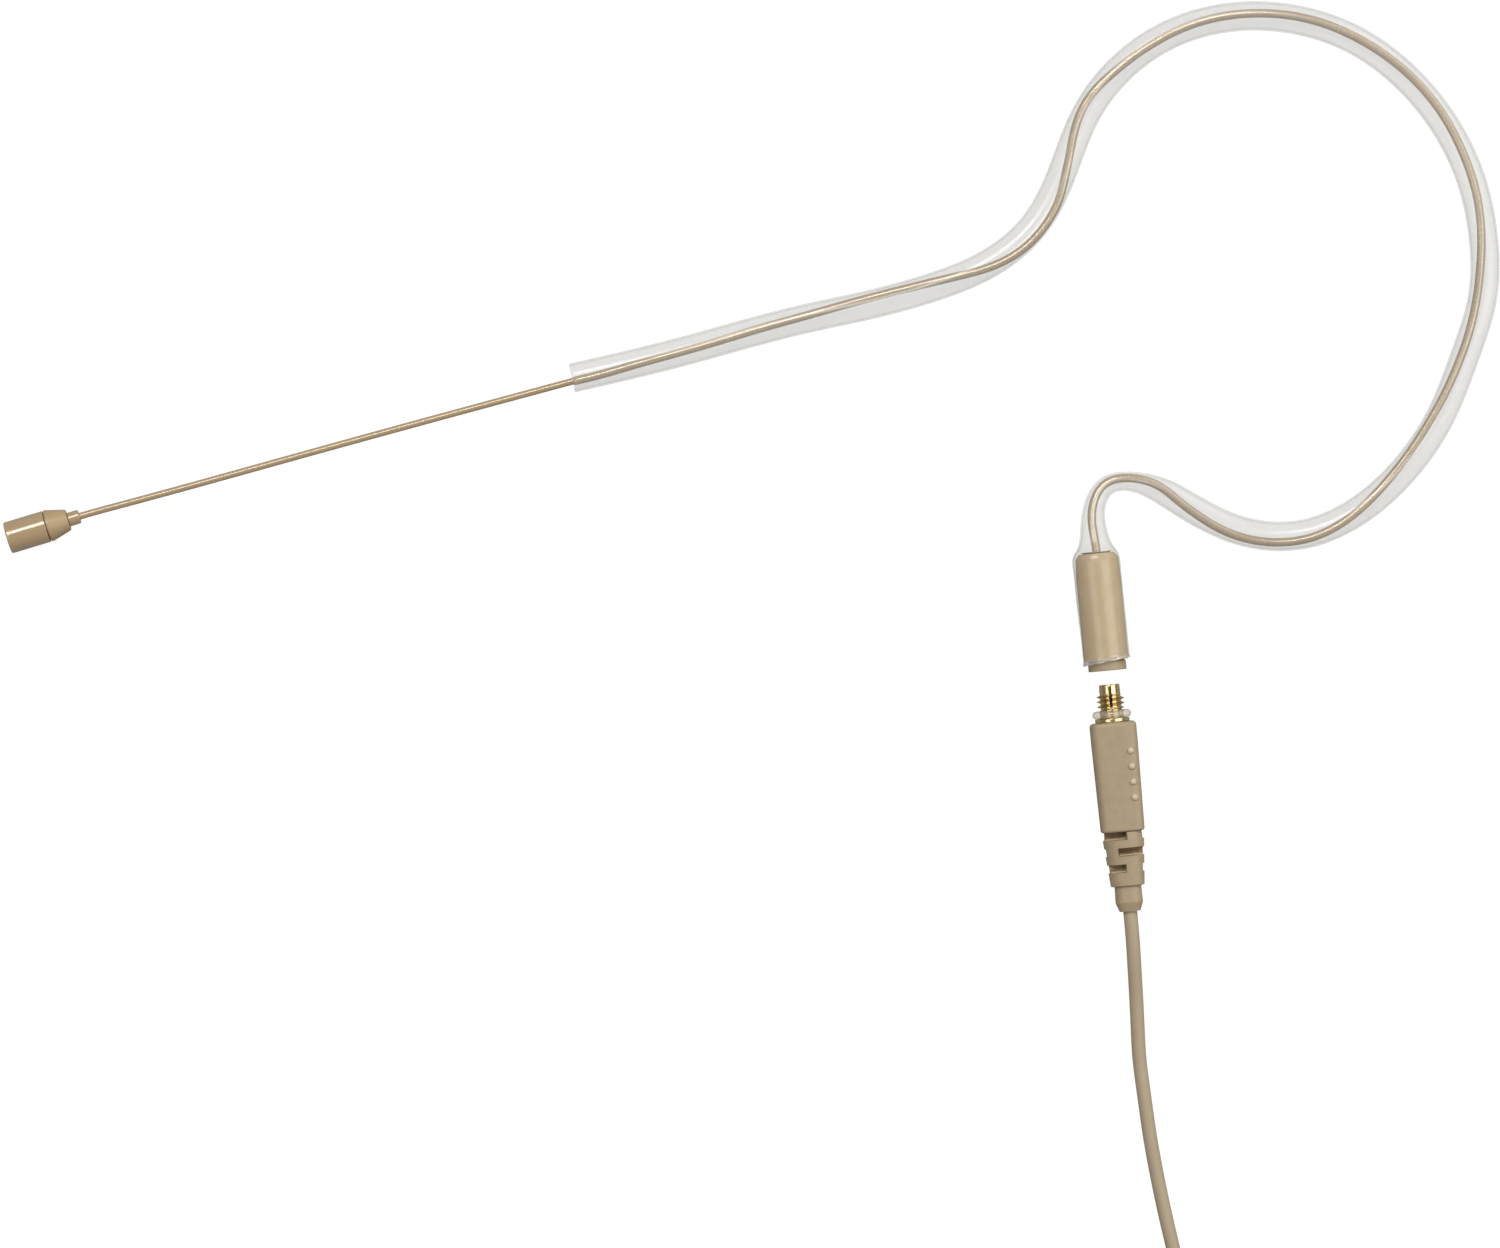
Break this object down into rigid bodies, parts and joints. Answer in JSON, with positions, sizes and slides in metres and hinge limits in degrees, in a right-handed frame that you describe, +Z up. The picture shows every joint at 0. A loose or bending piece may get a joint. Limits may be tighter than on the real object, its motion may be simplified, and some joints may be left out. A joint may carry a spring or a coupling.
{
  "type": "headset microphone",
  "caption": "Single-ear headset microphone with a thin boom, a clear ear loop and a screw-on detachable cable wound in a coil.",
  "frame": {"origin": "middle of the earset and its plug, lying flat, on the surface that they lie on", "axes": "+Z up from the surface, -X along the boom towards the capsule, +Y towards the top of the ear loop"},
  "size_m": [0.1593, 0.1699, 0.0104],
  "materials": {
    "lacquer": "glossy beige lacquer",
    "mesh_steel": "bright",
    "sleeve": "clear glossy silicone",
    "seal": "clear glossy silicone",
    "plastic": "satin moulded beige",
    "jacket": "matt beige cable jacket",
    "gold": "gold plated",
    "nickel": "satin nickel plate",
    "board": "circuit board",
    "white": "white insulator",
    "black": "black",
    "rubber": "matt black",
    "strap": "woven hook strap"
  },
  "bodies": {
    "earset": {"capsule_housing": "lacquer", "element_can": "nickel", "element_diaphragm": "gold", "element_backplate": "nickel", "element_spacer": "white", "element_board": "board", "element_transistor": "black", "boom_ferrule": "lacquer", "boom_tube": "lacquer", "ear_tube": "lacquer", "mic_lead": "black", "ear_sleeve": "sleeve", "socket_housing": "plastic", "socket_collar": "plastic", "socket_bush": "gold", "socket_insulator": "white", "socket_contact": "gold", "socket_crimp": "nickel"},
    "cap": {"capsule_cap": "lacquer", "cap_mesh": "mesh_steel"},
    "cable": {"cord_lead": "jacket", "cord_coil": "jacket", "coil_tie_1": "strap", "coil_tie_2": "strap", "cord_tail": "jacket", "far_shell": "nickel", "far_insert": "black", "far_contact_1": "gold", "far_contact_2": "gold", "far_contact_3": "gold", "far_latch_spring": "mesh_steel", "far_clamp": "black", "far_nut": "nickel", "far_relief": "rubber"},
    "plug": {"plug_contact": "gold", "plug_insulator": "white", "plug_pin": "gold", "plug_seal": "seal", "plug_body": "plastic", "plug_crimp": "nickel", "cable_core": "jacket", "strain_relief": "plastic"},
    "latch": {"far_latch": "nickel"}
  },
  "joints": [
    {"name": "plug_slide", "type": "slide", "parent": "earset", "child": "cable", "axis": [-0.0932, 0.9956, 0], "range_m": [0, 0.0042]},
    {"name": "plug_turn", "type": "hinge", "parent": "cable", "child": "plug", "pos_m": [0.03819, -0.02426, 0.00255], "axis": [-0.0932, 0.9956, 0], "range_deg": [0, 3025]},
    {"name": "cap_pull", "type": "slide", "parent": "earset", "child": "cap", "axis": [-0.957, -0.29, 0], "range_m": [0, 0.006]},
    {"name": "latch_press", "type": "slide", "parent": "cable", "child": "latch", "axis": [0, 0, -1], "range_m": [0, 0.0006], "stiffness_N_per_m": 400, "deforming": ["far_latch_spring"]}
  ],
  "couplings": [
    {"joint": "plug_turn", "follows": "plug_slide", "rad_per_m": 12566}
  ]
}
